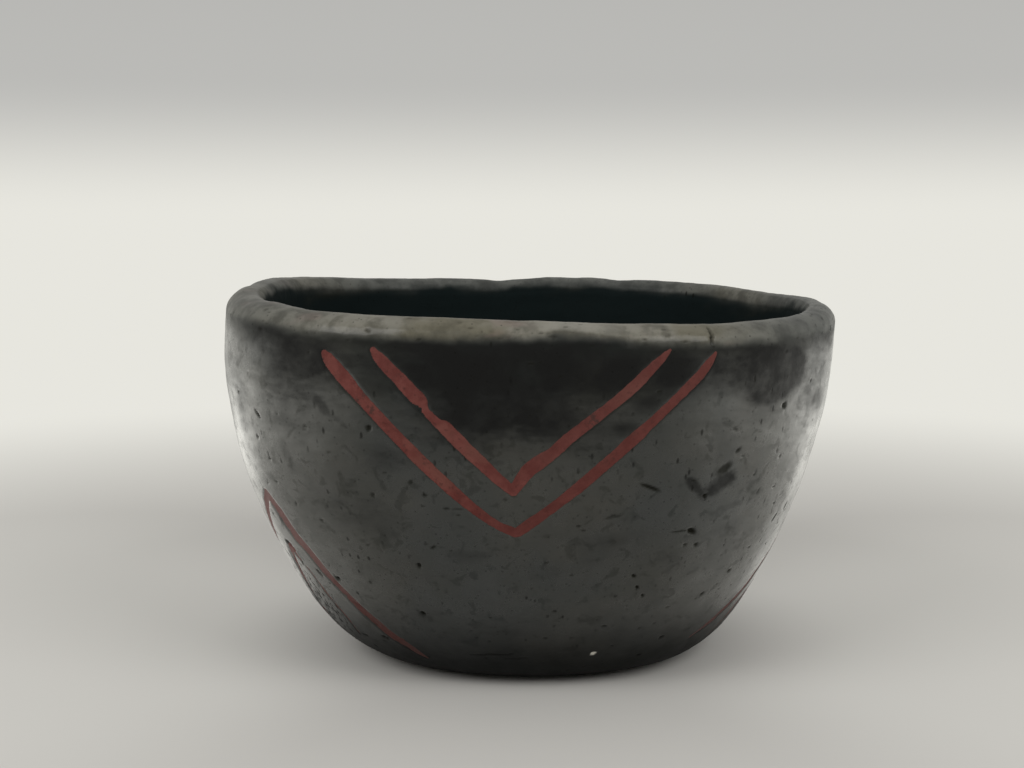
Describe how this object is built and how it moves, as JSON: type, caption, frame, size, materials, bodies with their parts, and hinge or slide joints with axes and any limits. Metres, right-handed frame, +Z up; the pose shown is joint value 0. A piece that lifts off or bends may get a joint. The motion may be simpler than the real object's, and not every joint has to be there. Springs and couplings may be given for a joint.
{
  "type": "black clay bowl",
  "caption": "Small thick-walled hand-formed clay bowl with a rounded-square mouth, rolled lip, flat foot and red-filled incised double chevrons around the wall.",
  "frame": {"origin": "centre of the bowl's box on the plane that it rests on", "axes": "+Z up out of the mouth, -Y the front with the full double chevron, +X the right-hand side seen from the front"},
  "size_m": [0.1004, 0.097, 0.0617],
  "materials": {
    "black_clay": "burnished, unglazed, satin with matte wear",
    "red_fill": "matte earth pigment"
  },
  "bodies": {
    "root": {"pot_body": "black_clay", "front_chevron_outer": "red_fill", "front_chevron_inner": "red_fill", "rear_right_chevron_outer": "red_fill", "rear_right_chevron_inner": "red_fill", "rear_left_chevron_outer": "red_fill", "rear_left_chevron_inner": "red_fill", "left_peak_outer": "red_fill", "left_peak_inner": "red_fill", "right_peak_outer": "red_fill", "right_peak_inner": "red_fill", "back_peak_outer": "red_fill", "back_peak_inner": "red_fill"}
  },
  "joints": []
}
